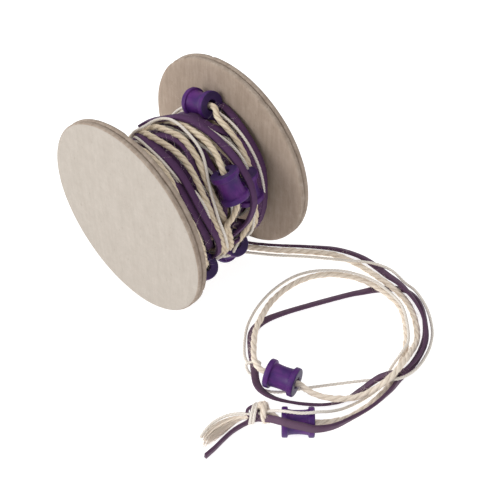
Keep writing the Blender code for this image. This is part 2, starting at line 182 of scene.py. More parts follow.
LACE_TAIL = (
    (-38.4, -79.5, 3.9, 262), (-41.4, -77.4, 2, 284), (-43.8, -76.6, 1.6, 282),
    (-47.5, -76.2, 1.6, 281), (-51.8, -76.4, 1.6, 280), (-56.5, -76.9, 1.6, 278),
    (-61.4, -77.1, 1.6, 276),
)

# Turns on the spool.  A point is x in mm, the angle round the axis in degrees (0 on top,
# 90 towards -Y, 180 at the bottom) and the radius in mm.  A bead's name stands for its hole.
# The _BACKS are the radii at which the cord goes round the back between one turn and the next.
JUTE_TURNS = (
    ((-14, -48, 23), (-15.2, -10, 24.4), (-15.6, 11, 25), (-15.8, 23, 25), (-16.4, 34, 25),
     (-17.2, 43, 24.8), (-17.6, 52, 24.8), (-17, 70, 25.5), (-16, 95, 28.5), "wound_bead_5"),
    ((-6.5, -40, 25), (-8.3, -18, 26), (-8.8, -9, 26), (-8.5, 0, 26), (-7.8, 14, 26),
     (-7.3, 28, 26), (-8, 44, 26), (-8.4, 59, 26), (-8.2, 68, 26), (-7.8, 79, 26.5),
     (-6.6, 90, 27), (-4.8, 105, 28), (-4, 125, 30)),
    ((-7, -42, 25), (-6.4, -29, 26), (-3.6, -24, 26), (-2.8, -17, 26), (-2.8, -9, 26),
     (-1.9, 0, 26), (-1.4, 6, 26), (-2, 18, 26), (-2.8, 32, 26), (-3.8, 40, 25.7),
     (-4.2, 52, 25), (-3.6, 70, 24.6), (-2, 90, 25.5), (0, 110, 28), (1.5, 130, 31)),
    ((17, -62, 22), (17.2, -44, 23.6), "wound_bead_1", (15.2, 9, 26.2), (15, 20, 26.4),
     (15, 40, 26.2), (15, 58, 25.2), (15, 72, 24.2), (14, 95, 26), (12.5, 120, 29.5)),
    ((5, -42, 24.5), (5.6, -10, 25.4), (6.8, 23, 26), (7.4, 30, 26), (8.1, 38, 26.2),
     (9.2, 50, 27), "wound_bead_3", (9.6, 100, 28.6), (7, 114, 29.8), "wound_bead_4"),
    ((1.5, -42, 24.8), (2.4, -20, 25.8), (2.9, -6, 26.3), (3.3, 6, 26.8), (3.3, 12, 27.3),
     (3.2, 26, 28.6), (2.3, 37, 30.2), "wound_bead_2", (-0.9, 82, 30.2), (-2.8, 90, 28),
     (-3, 100, 27.4), (-2, 115, 28.8), (-1, 130, 31)),
)
JUTE_BACKS = (24.3, 24.3, 23.2, 23.4, 23.6, 24)
LACE_TURNS = (
    ((20, -45, 23.6), (22, -20, 24.4), (22.2, -2, 25), (21.2, 20, 25), (20.5, 38, 25),
     (20.4, 68, 25), (19.1, 82, 25.6), (17, 105, 28), (15.5, 125, 30)),
    ((9, -45, 23), (10.4, -10, 23.8), (11.9, 12, 24), (13.8, 19, 24), (15.7, 26, 24.4),
     (16.6, 34, 24.8), (17.3, 42, 25.2), (17.1, 59, 25.4), (16.6, 85, 25.6), (15, 110, 28)),
    ((-11, -48, 22), (-11.5, -10, 22), (-12, 18, 22.2), (-13.4, 38, 23), (-14.5, 50, 24),
     (-14.5, 58, 24), (-13.5, 67, 24), (-13.3, 75, 24), (-12, 87, 24.4), (-8.9, 109, 25.2),
     (-6.8, 125, 26.6)),
    ((-5.6, -48, 25), (-7.4, -34, 25), (-9.9, -17, 25), (-11.1, -5, 25), (-11.6, 8, 25),
     (-11.7, 30, 25.2), (-12, 52, 25.4), (-11.7, 65, 25.6), (-10.7, 75, 25.8),
     (-9.1, 88, 26.4), (-5.9, 109, 28.4), (-6.1, 125, 30.4)),
    ((-9, -30, 23.4), (-5.9, -12, 24.8), (-4.3, -3, 25), (-2.9, 5, 25), (-2.8, 15, 25),
     (-3.5, 22.5, 25), (-4.9, 30, 24), (-5.4, 45, 23), (-5, 60, 23), (-4, 90, 24),
     (-1, 115, 27)),
    ((-2.5, -45, 26.5), (0.5, -21, 27.4), (3.6, -12, 27.8), (5.5, 0, 28), (6.8, 17, 28.2),
     (7.2, 27, 28.8), (7.4, 37, 29.8), (7.4, 48, 31.4), (7.5, 55, 32.2), (7.8, 64, 32.5),
     (7.8, 71, 32.5), (7.8, 78, 32.2), (7.5, 85, 31.4), (7.3, 93, 30.2), (6.8, 103, 29.2),
     (5.3, 108, 28.6), (0, 121, 28)),
)
LACE_BACKS = (23.8, 23.4, 23.6, 24.2, 24, 24.6)
COTTON_TURNS = (
    ((16.5, -40, 24), (18, -10, 25), (18.2, 7, 25.4), (18.3, 25, 26.1), (18.4, 50, 26.15),
     (18.3, 72, 26.2), (18.2, 92, 26.4), (16.5, 120, 29)),
    ((-7.5, -44, 24), (-10.1, -29, 24.6), (-12.2, -12, 24.8), (-13.1, -1, 24.8), (-13.6, 14, 24.8),
     (-13.4, 31, 24.4), (-12.4, 41, 24.4), (-10.6, 50, 25.2), (-10.1, 58, 25.9), (-9.6, 67, 26.2),
     (-9.1, 76, 26.1), (-8.7, 83, 25.6), (-7.6, 95, 25), (-5.6, 112, 26.8), (-4.6, 128, 29)),
    ((5.2, -36, 23.6), (7, -13, 24.6), (8.3, -1, 25.4), (9.3, 17, 26.3), (10.3, 25, 26.7),
     (12.6, 43, 26.6), (13.2, 56, 26.4), (13.6, 80, 26), (12, 104, 28), (11, 125, 31)),
    ((-7.4, -48, 24.6), (-8.8, -34, 26.4), (-8.2, -23, 27.9), (-5, -22.5, 28.1),
     (-2, -22, 28.2), (-0.1, -18, 28.2), (1, -14, 28.2), (1.2, -7, 28.1), (1.1, -1, 28),
     (0.3, 14, 28), (-0.4, 26, 27.8), (-2, 36, 27.5), (-3.5, 43, 27.2),
     (-5.6, 54, 27.5), (-6.6, 63, 27.8), (-6.8, 80, 28.2), (-6.0, 89, 28.8), (-4.0, 104, 29.4),
     (-1.6, 118, 30.2), (-0.4, 126, 31.2), (-1.4, 131, 31.8), (-3.4, 137, 32)),
)
COTTON_BACKS = (24.2, 24.2, 24.4, 24.6)

# Short loops of lace and cotton in front of the lowest bead
LACE_HOOK = (
    (3, 106, 26), (5.4, 111, 25.2), (7.3, 115.5, 25.6), (7.6, 116.5, 27.4), (7.2, 118, 28.9),
    (5.4, 120, 30.3), (3.2, 122, 30.2), (0.5, 124, 29), (-2, 127, 28),
)
COTTON_HOOK = (
    (7, 117, 27.4), (6.1, 122.5, 28.9), (5.1, 124.5, 31.0), (3.3, 126, 32.1),
    (1.5, 128, 33.2), (-0.6, 130, 32.9), (-2.6, 133, 31.5), (-4, 139, 30),
)

# Bight of lace at the far side of the knot
KNOT_HUMP = (
    (-34.6, -78.8, 5.6), (-35.6, -76.8, 5.9), (-36.9, -75.4, 5.6), (-38.4, -74.9, 4.8),
    (-39.5, -75.7, 4.0), (-39.6, -77.2, 3.4),
)
# Edges and middle of the jute's frayed end
FRAY_UPPER = (
    (-38.4, -78.4, 4.6), (-40.4, -76.3, 4.2), (-42.1, -74.3, 3.7), (-45.5, -71.5, 3.0),
    (-49.9, -70.0, 2.3), (-53.7, -69.7, 1.5), (-56.6, -70.1, 0.8),
)
FRAY_MIDDLE = (
    (-38.4, -78.6, 4.2), (-40.7, -76.6, 3.8), (-42.5, -74.7, 3.2), (-45.3, -73.0, 2.6),
    (-48.2, -71.9, 2.1), (-51.3, -71.5, 1.6), (-54.4, -71.8, 1.2), (-57.2, -72.8, 0.9),
    (-59.8, -74.1, 0.5),
)
FRAY_LOWER = (
    (-38.6, -78.8, 3.8), (-40.8, -76.3, 3.3), (-42.8, -75.2, 2.4), (-44.9, -74.6, 1.8),
    (-47.2, -74.4, 1.2), (-50.2, -74.2, 0.8), (-53.4, -74.0, 0.5),
)
FRAY_FIBRES = 420
FRAY_TAPER = 24                 # length in mm over which the jute thins out to its frayed end
FRAY_CORE = 0.16                # share of its radius that is left at the very end

# Knot: its centre in mm and the way the strands run through it
KNOT_CENTRE = (-36.7, -78.2, 4.2)
KNOT_AXIS = (-0.71, 0.68, -0.18)

# Beads in mm: half length, outer radius, length of a rim, radii of the waist and the hole
BEAD_HALF = 5.85
BEAD_RADIUS = 5.5
BEAD_RIM = 2.2
BEAD_WAIST = 4.3
BEAD_HOLE = 2.2
BEAD_SIDES = 72
BEAD_RUN = 2.0                  # a cord stays straight this far beyond each end of a bead

# Camera and lights in metres
CAMERA_PLACE = (-0.2251, -0.2646, 0.3693)
CAMERA_TARGET = (0.0204, -0.0166, 0.0)
CAMERA_LENS = 90.3              # mm
CAMERA_SENSOR = 36.0            # mm
LIGHT_TARGET = (0.0, -0.03, 0.03)
LIGHTS = (                      # name, place, size, power
    ("key", (-0.85, 0.25, 0.5), 0.5, 5.6),
    ("front", (-0.35, -0.95, 0.75), 0.8, 1.0),
    ("top", (0.1, 0.2, 1.2), 0.8, 2.6),
)
SKY_STRENGTH = 0.56
TABLE_REACH = 3.0


def noise_wave(angle, seed, periods, strength):
    """A sum of sines that repeats over a full turn, with falling strength."""
    draw = np.random.default_rng(seed)
    total = np.zeros_like(angle, dtype=float)
    for period in periods:
        total += np.sin(period * angle + draw.uniform(0, 2 * math.pi)) / math.sqrt(period)
    return total * strength


def smooth_noise(along, seed, wavelength, strength):
    """Soft random variation along a line, from values at even knots."""
    draw = np.random.default_rng(seed)
    knots = np.arange(0, along[-1] + 2 * wavelength, wavelength)
    return np.interp(along, knots, draw.normal(0, strength, len(knots)))


# Lines

def catmull(route, steps=12):
    """Dense points on the Catmull-Rom curve through a route's points."""
    points = np.asarray(route, float)
    points = np.vstack([2 * points[0] - points[1], points, 2 * points[-1] - points[-2]])
    t = np.linspace(0, 1, steps, endpoint=False)[:, None]
    spans = [
        0.5 * (2 * b + (c - a) * t + (2 * a - 5 * b + 4 * c - d) * t ** 2
               + (3 * b - a - 3 * c + d) * t ** 3)
        for a, b, c, d in zip(points, points[1:], points[2:], points[3:])
    ]
    return np.vstack([*spans, points[-2:-1]])


def lengths_along(points):
    steps = np.linalg.norm(np.diff(points[:, :3], axis=0), axis=1)
    return np.concatenate([[0.0], np.cumsum(steps)])


def even(points, spacing):
    """The same line with its points an even distance apart."""
    along = lengths_along(points)
    places = np.linspace(0, along[-1], max(2, round(along[-1] / spacing) + 1))
    return np.stack([np.interp(places, along, column) for column in points.T], axis=1)


def softened(points, passes):
    """A line whose inner points are averaged with their neighbours."""
    points = points.copy()
    for _ in range(passes):
        points[1:-1] = 0.25 * points[:-2] + 0.5 * points[1:-1] + 0.25 * points[2:]
    return points


def unit(vectors):
    return vectors / np.maximum(np.linalg.norm(vectors, axis=-1, keepdims=True), 1e-9)


def tangents(points):
    return unit(np.gradient(points[:, :3], axis=0))


def carried_normals(points):
    """Normals that turn no more than the line itself does."""
    along = tangents(points)
    normals = np.zeros_like(along)
    first = np.cross(along[0], (0.0, 0.0, 1.0))
    normals[0] = unit(first if np.linalg.norm(first) > 0.1 else np.cross(along[0], (1.0, 0, 0)))
    for index in range(1, len(along)):
        carried = normals[index - 1]
        normals[index] = unit(carried - (carried @ along[index]) * along[index])
    return normals


def on_spool(rows):
    """Points given as x, angle in degrees and radius, in the model's frame."""
    x, angle, radius = np.asarray(rows, float).T
    turn = np.radians(angle)
    return np.stack([x, -radius * np.sin(turn), AXIS_Z + radius * np.cos(turn)], axis=1)


def bead_line(name):
    """Centre of a bead and the unit vector along its hole, from the bead's joint."""
    joint = next(item for item in frame["joints"] if item["child"] == name)
    return np.array(joint["pos_m"]) / MM, unit(np.array(joint["axis"], float))


def bead_row(name):
    """A bead's centre as x, angle and radius."""
    x, y, z = bead_line(name)[0]
    return x, math.degrees(math.atan2(-y, z - AXIS_Z)), math.hypot(y, z - AXIS_Z)


def wound_line(turns, backs, spacing):
    """One strand's line through all its turns, the first turn laid first."""
    rows, beads = [], []
    for number, turn in enumerate(turns):
        front = []
        for point in reversed(turn):
            if isinstance(point, str):
                beads.append((point, number))
                point = bead_row(point)
            front.append((point[0], point[1] - 360 * number, point[2]))
        if rows:
            x_0, angle_0, _ = rows[-1]
            x_1, angle_1, radius_1 = front[0]
            for share in (0.22, 0.42, 0.6, 0.8):
                ease = share * share * (3 - 2 * share)
                hang = share ** 4 * (radius_1 - backs[number - 1])
                rows.append((
                    x_0 + ease * (x_1 - x_0), angle_0 + share * (angle_1 - angle_0),
                    backs[number - 1] + hang,
                ))
        rows += front
    turned = catmull(rows, 16)
    line = on_spool(turned)
    for name, number in reversed(beads):
        centre, axis = bead_line(name)
        reach = BEAD_HALF + BEAD_RUN
        same_turn = np.abs(turned[:, 1] + 360 * number - bead_row(name)[1]) < 40
        near = same_turn & (np.linalg.norm(line - centre, axis=1) < reach + 3.0)
        first, last = np.flatnonzero(near)[[0, -1]]
        sign = 1.0 if (line[last] - line[first]) @ axis > 0 else -1.0
        straight = centre + axis * sign * np.linspace(-reach, reach, 12)[:, None]
        line = np.vstack([line[:first], straight, line[last + 1:]])
        turned = np.vstack([turned[:first], np.full((12, 3), np.nan), turned[last + 1:]])
    fine = even(line, 1.0)
    return even(softened(fine, 6), spacing)


def coil_line(radius, x_first, x_last, turns, wobble, seed, spacing, start_angle=0.0):
    """A helix round the core, with a small wobble in its place along the spool."""
    draw = np.random.default_rng(seed)
    share = np.linspace(0, 1, int(turns * 40))
    angle = start_angle + 360 * turns * share
    phase = draw.uniform(0, 2 * math.pi, 3)
    lean = sum(np.sin(np.radians(angle) * k + p) for k, p in zip((0.37, 1.13, 2.1), phase))
    x = x_first + (x_last - x_first) * share + wobble * lean * np.sin(math.pi * share)
    swell = radius + 0.25 * np.sin(np.radians(angle) * 0.71 + phase[0])
    return even(on_spool(np.stack([x, angle, swell], axis=1)), spacing)


# Meshes

def mesh_object(name, vertices, faces, materials, face_slots=None, uvs=None):
    """A smooth-shaded mesh piece from vertices in mm."""
    mesh = bpy.data.meshes.new(name)
    mesh.from_pydata((np.asarray(vertices, float) * MM).tolist(), [], faces)
    for material in materials:
        mesh.materials.append(material)
    if face_slots is not None:
        mesh.polygons.foreach_set("material_index", np.asarray(face_slots, np.int32))
    if uvs is not None:
        mesh.uv_layers.new(name="UVMap").data.foreach_set("uv", np.asarray(uvs, float).ravel())
    mesh.shade_smooth()
    mesh.update()
    piece = bpy.data.objects.new(name, mesh)
    bpy.context.scene.collection.objects.link(piece)
    return piece


class Skin:
    """Collects swept tubes, lathes and hairs that become one mesh."""

    def __init__(self):
        self.vertices, self.faces, self.uvs, self.slots = [], [], [], []
        self.count = 0

    def add_grid(self, points, slot=0, u=None, closed=True, caps=True):
        """Quads over a grid of sections; closed joins each section's last point to its first."""
        rows, columns = points.shape[:2]
        base = self.count
        self.vertices.append(points.reshape(-1, 3))
        self.count += rows * columns
        u = np.arange(rows) if u is None else u
        row = np.arange(rows - 1)[:, None]
        column = np.arange(columns if closed else columns - 1)[None, :]
        after = (column + 1) % columns
        quads = np.stack(np.broadcast_arrays(
            base + row * columns + column, base + row * columns + after,
            base + (row + 1) * columns + after, base + (row + 1) * columns + column,
        ), axis=-1).reshape(-1, 4)
        self.faces += quads.tolist()
        self.slots += [slot] * len(quads)
        u_0, u_1, v_0, v_1 = np.broadcast_arrays(
            u[:-1, None], u[1:, None], column / columns, (column + 1) / columns,
        )
        corners = np.stack([u_0, v_0, u_0, v_1, u_1, v_1, u_1, v_0], axis=-1)
        self.uvs.append(corners.reshape(-1, 2))
        if caps and closed:
            for end, order in ((0, -1), (rows - 1, 1)):
                ring = (base + end * columns + np.arange(columns))[::order]
                self.faces.append(ring.tolist())
                self.slots.append(slot)
                self.uvs.append(np.stack(
                    [np.full(columns, float(u[end])), np.arange(columns)[::order] / columns], axis=1,
                ))

    def rest(self):
        """Keeps every point just above the table."""
        for points in self.vertices:
            points[:, 2] = np.maximum(points[:, 2], TABLE_GAP)

    def build(self, name, materials):
        return mesh_object(
            name, np.vstack(self.vertices), self.faces, materials, self.slots,
            np.vstack(self.uvs),
        )


def sections(points, normals, outlines):
    """Places outlines (rows, columns, 2) across a line."""
    sides = np.cross(tangents(points), normals)
    return (points[:, None, :3] + outlines[..., :1] * normals[:, None]
            + outlines[..., 1:] * sides[:, None])


def ply_outline(radius, columns):
    """Angles and radii of touching round plies laid round a centre."""
    angle = np.arange(columns) / columns * 2 * math.pi
    ply = radius / (1 + 1 / math.sin(math.pi / PLIES))
    offset = radius - ply
    lobe = 2 * math.pi / PLIES
    away = (angle + lobe / 2) % lobe - lobe / 2
    inner = np.maximum(ply ** 2 - (offset * np.sin(away)) ** 2, 0.0)
    return angle, offset * np.cos(away) + np.sqrt(inner)


def twisted(skin, points, cord, columns, seed, rough, flare=None, slot=0):
    """A laid cord: plies that turn round the line, thicker and thinner along it."""
    radius, pitch = cord
    along = lengths_along(points)
    angle, outline = ply_outline(radius, columns)
    outline = (1 - ROUNDNESS) * outline + ROUNDNESS * 0.95 * radius
    lobe_of = (np.round(angle / (2 * math.pi / PLIES)) % PLIES).astype(int)
    swell = np.stack([
        smooth_noise(along, seed + lobe, 2.6, rough) for lobe in range(PLIES)
    ], axis=1)
    drift = smooth_noise(along, seed + 11, 14.0, 0.55)
    turn = drift - 2 * math.pi * along / pitch
    reach = outline[None, :] * (1 + swell[:, lobe_of])
    for column in range(columns):
        reach[:, column] *= 1 + smooth_noise(along, seed + 40 + column, 1.7, 0.35 * rough)
    if flare is not None:
        reach = reach * flare[:, None]
    spun = angle[None, :] + turn[:, None]
    outlines = np.stack([reach * np.cos(spun), reach * np.sin(spun)], axis=-1)
    skin.add_grid(sections(points, carried_normals(points), outlines), slot, along)


def lace_outline(width, thickness, corner):
    """Cross-section of the lace: a flat strip with softly rounded cut edges."""
    half_w, half_t = width / 2, thickness / 2
    points = []
    for centre_w, centre_t, start in (
        (half_w - corner, half_t - corner, 0), (-half_w + corner, half_t - corner, 90),
        (-half_w + corner, -half_t + corner, 180), (half_w - corner, -half_t + corner, 270),
    ):
        for step in (0, 30, 60, 90):
            turn = math.radians(start + step)
            points.append((centre_t + corner * math.sin(turn), centre_w + corner * math.cos(turn)))
    return np.array(points)


def ribbon(skin, points, normals, seed, width=LACE_WIDTH, corner=0.2):
    """A suede lace laid along a line with its flat side facing the normals."""
    along = lengths_along(points)
    outline = lace_outline(width, LACE_THICKNESS, corner)
    outline = np.repeat(outline[None], len(points), axis=0)
    draw = np.random.default_rng(seed)
    for column in range(outline.shape[1]):
        outline[:, column] += smooth_noise(along, draw.integers(10 ** 6), 1.1, 0.022)[:, None]
    outline[..., 1] *= 1 + smooth_noise(along, seed + 3, 9.0, 0.03)[:, None]
    skin.add_grid(sections(points, normals, outline), u=along)


def rolled_normals(points):
    """Normals of a lace that lies level and is rolled by its fourth number."""
    along = tangents(points)
    side = unit(np.stack([-along[:, 1], along[:, 0], np.zeros(len(along))], axis=1))
    up = np.cross(along, side)
    roll = np.radians(points[:, 3])[:, None]
    return unit(up * np.cos(roll) + side * np.sin(roll))


def outward_normals(points, lean=None):
    """Normals that point away from the spool's axis."""
    along = tangents(points)
    out = points[:, :3] - np.array([0.0, 0.0, AXIS_Z])
    out[:, 0] = 0.0
    if lean is not None:
        out = unit(out) + lean[:, None] * np.array([[1.0, 0.0, 0.0]])
    out = out - (out * along).sum(axis=1, keepdims=True) * along
    return unit(out)


def add_hairs(skin, starts, directions, lifts, lengths, radius, seed):
    """Fine loose fibres: thin three-sided hairs that bend from a direction towards a lift."""
    draw = np.random.default_rng(seed)
    share = np.linspace(0, 1, 6)[None, :, None]
    curl = draw.normal(0, 0.35, (len(starts), 1, 3))
    reach = lengths[:, None, None]
    line = (starts[:, None] + directions[:, None] * share * reach
            + lifts[:, None] * share ** 1.6 * reach * 0.55 + curl * share ** 2 * reach * 0.6)
    side = unit(np.cross(directions, lifts) + 1e-6)
    up = unit(np.cross(side, directions))
    for hair, across, above in zip(line, side, up):
        width = radius * (1.0 - 0.75 * share[0])
        ring = np.stack([
            hair + width * (math.cos(turn) * across + math.sin(turn) * above)
            for turn in HAIR_CORNERS
        ], axis=1)
        skin.add_grid(ring)


def fuzz(skin, points, radius, count, length, hair_radius, seed, floor=None):
    """Hairs that stand out from a cord."""
    draw = np.random.default_rng(seed)
    index = draw.integers(1, len(points) - 1, count)
    along = tangents(points)[index]
    around = draw.uniform(0, 2 * math.pi, count)[:, None]
    normal = carried_normals(points)[index]
    out = normal * np.cos(around) + np.cross(along, normal) * np.sin(around)
    starts = points[index, :3] + out * radius * 0.8
    sense = np.where(draw.random(count) < 0.5, -1.0, 1.0)[:, None]
    directions = unit(along * sense + out * draw.uniform(0.15, 0.7, (count, 1)))
    lengths = draw.uniform(0.35, 1.0, count) ** 1.5 * length
    if floor is not None:
        keep = (starts + (directions + 0.55 * out) * lengths[:, None])[:, 2] > floor
        starts, directions, out, lengths = (item[keep] for item in (starts, directions, out, lengths))
    add_hairs(skin, starts, directions, out, lengths, hair_radius, seed + 1)


# Materials

class Shader:
    """A Principled material with short calls for the nodes used here."""

    def __init__(self, name, colour, roughness, **sockets):
        self.material = bpy.data.materials.new(name)
        self.material.use_nodes = True
        self.material.diffuse_color = (*colour, 1.0)
        self.tree = self.material.node_tree
        self.surface = self.tree.nodes["Principled BSDF"]
        self.surface.inputs["Base Color"].default_value = (*colour, 1.0)
        self.surface.inputs["Roughness"].default_value = roughness
        for socket, value in sockets.items():
            self.surface.inputs[socket.replace("_", " ")].default_value = value

    def node(self, kind, inputs=None, **settings):
        made = self.tree.nodes.new(kind)
        for name, value in settings.items():
            setattr(made, name, value)
        for name, value in (inputs or {}).items():
            if isinstance(value, bpy.types.NodeSocket):
                self.tree.links.new(value, made.inputs[name])
            else:
                made.inputs[name].default_value = value
        return made

    def place(self, kind="Object", scale=(1.0, 1.0, 1.0)):
        """Texture coordinates, stretched by a scale for each axis."""
        source = self.node("ShaderNodeTexCoord").outputs[kind]
        return self.node("ShaderNodeMapping", {"Vector": source, "Scale": scale}).outputs[0]

    def noise(self, vector, scale, detail=4.0, roughness=0.6):
        return self.node("ShaderNodeTexNoise", {
            "Vector": vector, "Scale": scale, "Detail": detail, "Roughness": roughness,
        }).outputs["Fac"]

    def ramp(self, factor, *stops, interpolation="LINEAR"):
        made = self.node("ShaderNodeValToRGB", {"Fac": factor})
        made.color_ramp.interpolation = interpolation
        elements = made.color_ramp.elements
        while len(elements) < len(stops):
            elements.new(0.5)
        for element, (position, colour) in zip(elements, stops):
            element.position = position
            element.color = (*colour, 1.0) if isinstance(colour, tuple) else (colour,) * 3 + (1.0,)
        return made.outputs["Color"]

    def math(self, operation, first, second=0.0):
        return self.node("ShaderNodeMath", {0: first, 1: second}, operation=operation).outputs[0]

    def mix(self, factor, first, second, blend="MIX"):
        made = self.node("ShaderNodeMix", data_type="RGBA", blend_type=blend)
        for index, value in ((0, factor), (6, first), (7, second)):
            if isinstance(value, bpy.types.NodeSocket):
                self.tree.links.new(value, made.inputs[index])
            elif index:
                made.inputs[index].default_value = (*value, 1.0)
            else:
                made.inputs[index].default_value = value
        return made.outputs[2]

    def bump(self, height, strength, distance):
        made = self.node("ShaderNodeBump", {
            "Height": height, "Strength": strength, "Distance": distance,
        })
        self.tree.links.new(made.outputs[0], self.surface.inputs["Normal"])

    def paint(self, colour, roughness=None):
        self.tree.links.new(colour, self.surface.inputs["Base Color"])
        if roughness is not None:
            self.tree.links.new(roughness, self.surface.inputs["Roughness"])
        return self.material


def card_material(name, light, dark, fleck, streaky):
    """Grey board: soft mottling, fine fibres, small flecks and, if streaky, upright streaks."""
    shader = Shader(name, light, 0.92, Specular_IOR_Level=0.25)
    place = shader.place()
    streak = shader.noise(shader.place(scale=(1.0, 1.0, 0.12)), 650, 4, 0.65)
    mottle = shader.noise(place, 240, 5, 0.7)
    fibres = shader.noise(place, 1150, 3, 0.75)
    flecks = shader.noise(shader.place(scale=(1.0, 1.0, 0.6)), 900, 1, 0.4)
    base = shader.ramp(mottle, (0.34, dark), (0.62, light))
    base = shader.mix(shader.ramp(fibres, (0.38, 0.55), (0.62, 0.0)), base, dark)
    base = shader.mix(shader.ramp(streak, (0.36, streaky), (0.6, 0.0)), base, fleck)
    base = shader.mix(shader.ramp(flecks, (0.68, 0.0), (0.78, 0.35)), base, fleck)
    shader.bump(shader.math("ADD", fibres, streak), 0.5, 0.00014)
    return shader.paint(base, shader.ramp(mottle, (0.3, 0.84), (0.7, 0.96)))


def wood_material(name, deep, warm, light, grain_along):
    """Dyed wood: grain along the hole on the sides, or end grain."""
    shader = Shader(name, deep, 0.45, Specular_IOR_Level=0.3, Coat_Weight=0.04,
                    Coat_Roughness=0.35)
    stretch = (1.0, 1.0, 0.13) if grain_along else (1.0, 1.0, 1.0)
    grain = shader.noise(shader.place(scale=stretch), 1700, 5, 0.65)
    cloud = shader.noise(shader.place(), 190, 2, 0.5)
    pores = shader.noise(shader.place(scale=stretch), 3600, 2, 0.5)
    base = shader.ramp(cloud, (0.36, deep), (0.52, warm), (0.7, light))
    base = shader.mix(shader.ramp(grain, (0.42, 0.5), (0.62, 0.0)), base, deep)
    shader.bump(shader.math("ADD", grain, pores), 0.25, 0.00008)
    return shader.paint(base, shader.ramp(grain, (0.3, 0.38), (0.7, 0.55)))


def cord_material(name, light, middle, groove_shade, groove_shade_share, lean, streaks, bump, roughness=0.85):
    """Laid cord of three plies: fibre streaks that lean across them, with painted shade in the grooves
    between the plies.
    """
    shader = Shader(name, light, roughness, Sheen_Weight=0.08, Sheen_Roughness=0.6)
    along, across = shader.node("ShaderNodeSeparateXYZ", {0: shader.place("UV")}).outputs[:2]
    lobe = shader.math("FRACT", shader.math("MULTIPLY", across, 3.0))
    depth = shader.math("ABSOLUTE", shader.math("SUBTRACT", lobe, 0.5))
    leaning = shader.math("ADD", across, shader.math("MULTIPLY", along, lean))
    place = shader.node("ShaderNodeCombineXYZ", {
        0: shader.math("MULTIPLY", along, 0.3), 1: shader.math("MULTIPLY", leaning, streaks),
    }).outputs[0]
    streak = shader.noise(place, 1.0, 4, 0.65)
    patch = shader.noise(shader.place(), 230, 3, 0.6)
    base = shader.ramp(streak, (0.36, middle), (0.58, light))
    base = shader.mix(shader.ramp(patch, (0.45, 0.0), (0.75, 0.45)), base, middle)
    # Painted shade: the groove colour darkens the cord where its plies meet.
    base = shader.mix(shader.ramp(depth, (0.0, groove_shade_share), (0.2, 0.0)), base, groove_shade)
    shader.bump(streak, 0.5, bump)
    return shader.paint(base)


def suede_material(name, face, lit, edge):
    """Suede lace: short nap with fine speckle, paler cut edges."""
    shader = Shader(name, face, 0.92, Sheen_Weight=0.08, Sheen_Roughness=0.45,
                    Specular_IOR_Level=0.2)
    across = shader.node("ShaderNodeSeparateXYZ", {0: shader.place("UV")}).outputs["Y"]
    place = shader.place()
    nap = shader.noise(place, 2600, 3, 0.7)
    cloud = shader.noise(place, 330, 3, 0.6)
    specks = shader.noise(place, 4200, 1, 0.4)
    base = shader.ramp(nap, (0.3, face), (0.75, lit))
    base = shader.mix(shader.ramp(cloud, (0.4, 0.0), (0.75, 0.55)), base, lit)
    half = shader.math("FRACT", shader.math("MULTIPLY_ADD", across, 2.0))
    rim = shader.math("ABSOLUTE", shader.math("SUBTRACT", half, 0.97))
    base = shader.mix(shader.ramp(rim, (0.03, 0.35), (0.1, 0.0)), base, edge)
    base = shader.mix(shader.ramp(specks, (0.7, 0.0), (0.76, 0.2)), base, edge)
    shader.bump(nap, 0.5, 0.00006)
    return shader.paint(base)


def make_materials():
    """Every material by its name, from the colour tables at the top."""
    made = {"jute_hair": Shader("jute_hair", HAIR_COLOUR, 0.8).material}
    for maker, looks in (
        (card_material, CARDS), (wood_material, WOODS), (cord_material, CORDS),
        (suede_material, SUEDES),
    ):
        made.update({name: maker(name, *look) for name, look in looks.items()})
    return made


# The pieces

def ring_grid(profile, sides):
    """A turned grid about +X from rows of x offset and radius, radius by angle allowed."""
    angle = np.arange(sides) / sides * 2 * math.pi
    rows = []
    for x, radius in profile:
        radius = np.broadcast_to(radius, angle.shape)
        x = np.broadcast_to(x, angle.shape)
        rows.append(np.stack([x, -radius * np.sin(angle), AXIS_Z + radius * np.cos(angle)], axis=1))
    return np.stack(rows)


